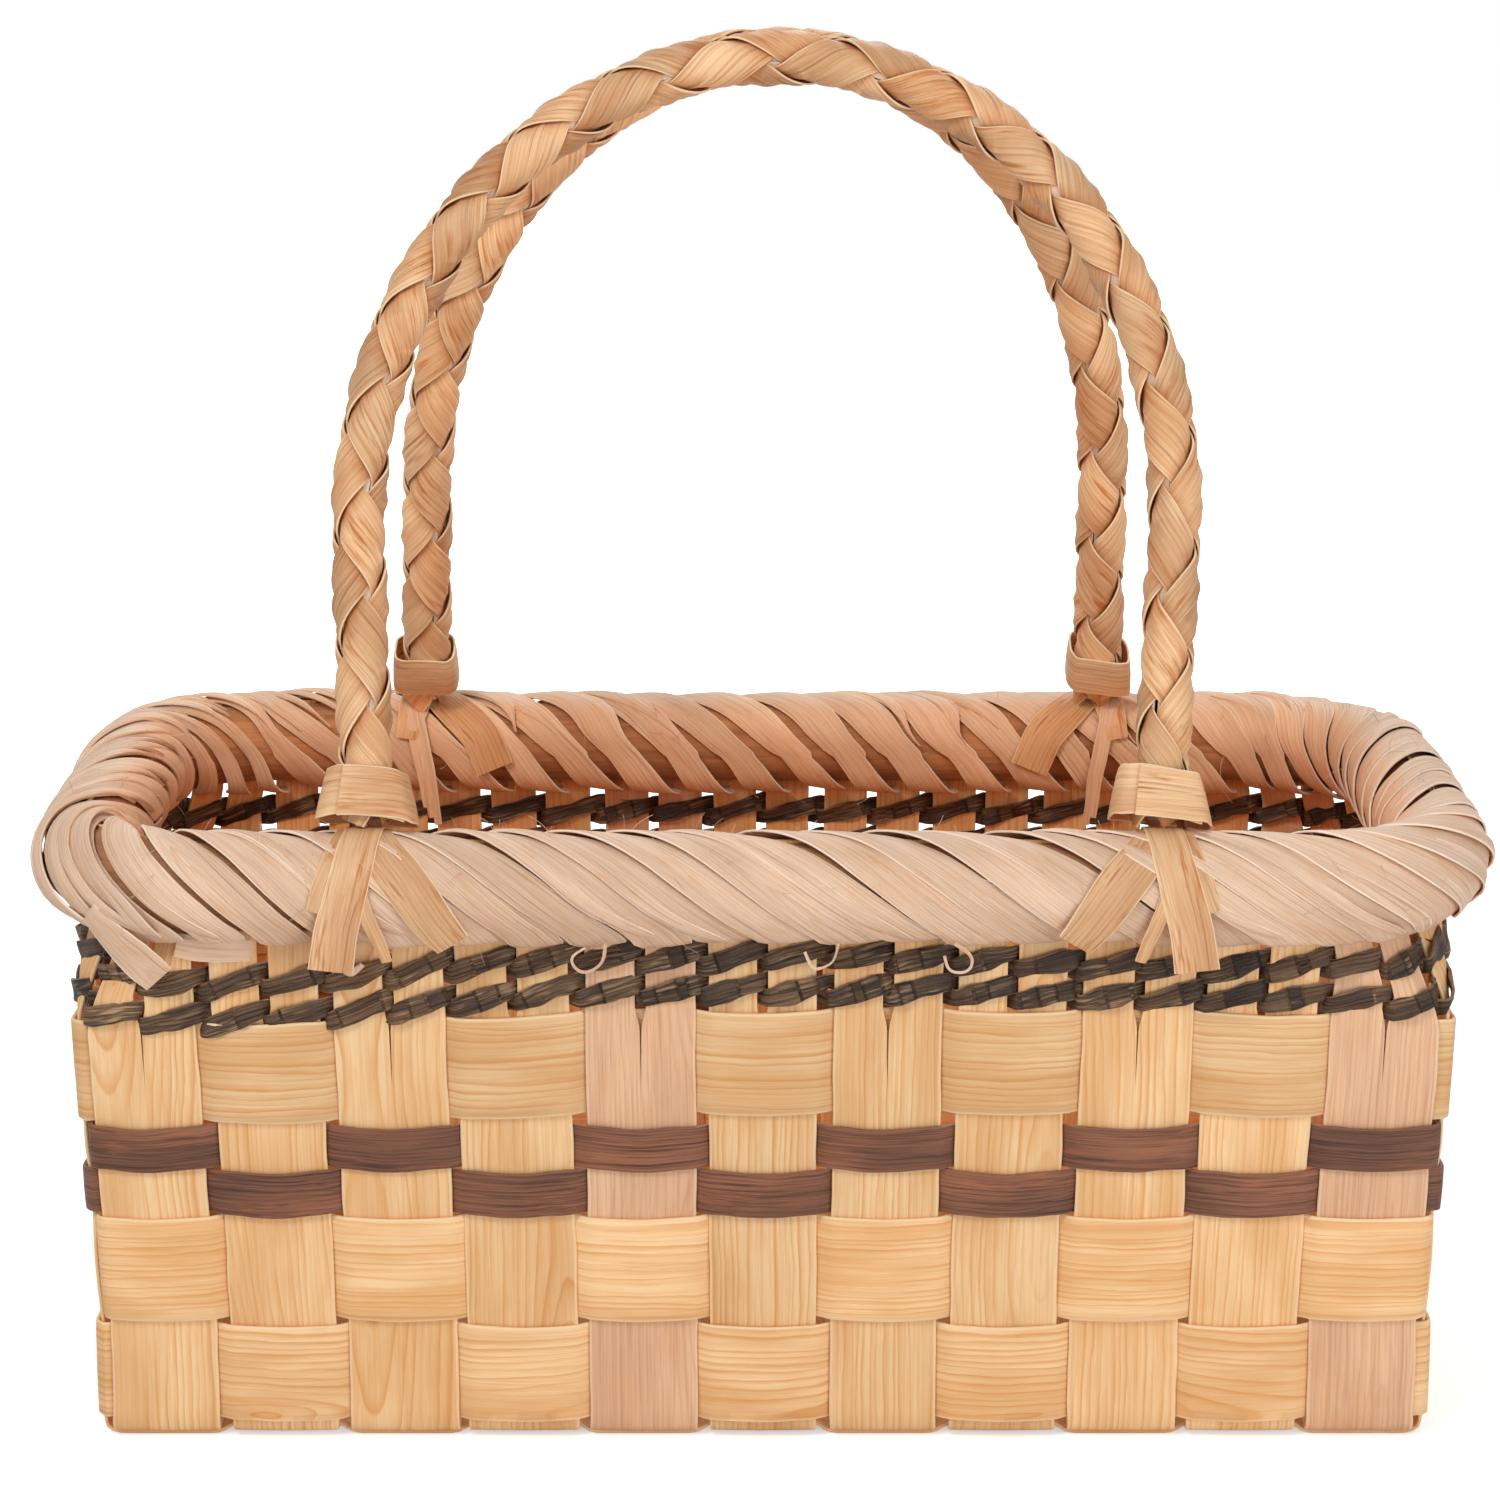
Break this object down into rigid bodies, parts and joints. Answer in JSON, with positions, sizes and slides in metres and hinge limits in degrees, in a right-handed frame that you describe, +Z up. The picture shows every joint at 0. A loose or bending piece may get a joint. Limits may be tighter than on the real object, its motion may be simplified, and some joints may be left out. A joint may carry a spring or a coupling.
{
  "type": "picnic basket",
  "caption": "Rectangular picnic basket woven from wide wood splints, with a thick wrapped rim and twin braided swing handles.",
  "frame": {"origin": "under the middle of the base, on the surface that the basket stands on", "axes": "+Z up, +X along the length, +Y from the front long wall to the back one"},
  "size_m": [0.3654, 0.1886, 0.3441],
  "materials": {
    "pale_splint": "bare pale wood splint, satin, fine straight grain",
    "pink_splint": "bare pinkish wood splint, satin, fine straight grain",
    "brown_splint": "dyed brown wood splint, satin",
    "dark_bark": "rough dark bark strips, matt and fibrous",
    "hoop_wood": "bare wood, matt",
    "rim_bast": "pale pinkish bast strips, matt, fine fibres",
    "braid_bast": "pale golden bast strips, matt, fine fibres"
  },
  "bodies": {
    "basket": {"cross_stake_1": "pale_splint", "cross_stake_2": "pale_splint", "cross_stake_3": "pale_splint", "cross_stake_4": "pale_splint", "cross_stake_5": "pink_splint", "cross_stake_6": "pale_splint", "cross_stake_7": "pale_splint", "cross_stake_8": "pale_splint", "cross_stake_9": "pale_splint", "cross_stake_10": "pale_splint", "cross_stake_11": "pink_splint", "long_stake_1": "pale_splint", "long_stake_2": "pale_splint", "long_stake_3": "pale_splint", "long_stake_4": "pale_splint", "long_stake_5": "pale_splint", "wide_weaver_1": "pale_splint", "wide_weaver_2": "pale_splint", "wide_weaver_3": "pale_splint", "brown_weaver_1": "brown_splint", "brown_weaver_2": "brown_splint", "bark_twine_1a": "dark_bark", "bark_twine_1b": "dark_bark", "bark_twine_2a": "dark_bark", "bark_twine_2b": "dark_bark", "rim_hoop_outer": "hoop_wood", "rim_hoop_inner": "hoop_wood", "rim_wrap_1": "rim_bast", "rim_wrap_2": "rim_bast", "rim_wrap_3": "rim_bast", "rim_wrap_4": "rim_bast", "rim_wrap_5": "rim_bast", "front_left_over_tail": "braid_bast", "front_left_under_tail": "braid_bast", "front_right_over_tail": "braid_bast", "front_right_under_tail": "braid_bast", "back_left_over_tail": "braid_bast", "back_left_under_tail": "braid_bast", "back_right_over_tail": "braid_bast", "back_right_under_tail": "braid_bast"},
    "front_handle": {"front_handle_core": "rim_bast", "front_braid_strand_1": "braid_bast", "front_braid_strand_2": "braid_bast", "front_braid_strand_3": "braid_bast", "front_braid_strand_4": "braid_bast", "front_left_collar": "braid_bast", "front_right_collar": "braid_bast"},
    "back_handle": {"back_handle_core": "rim_bast", "back_braid_strand_1": "braid_bast", "back_braid_strand_2": "braid_bast", "back_braid_strand_3": "braid_bast", "back_braid_strand_4": "braid_bast", "back_left_collar": "braid_bast", "back_right_collar": "braid_bast"}
  },
  "joints": [
    {"name": "front_handle_swing", "type": "hinge", "parent": "basket", "child": "front_handle", "pos_m": [0, -0.0791, 0.1436], "axis": [1, 0, 0], "range_deg": [0, 110]},
    {"name": "back_handle_swing", "type": "hinge", "parent": "basket", "child": "back_handle", "pos_m": [0, 0.0791, 0.1436], "axis": [-1, 0, 0], "range_deg": [0, 110]}
  ]
}
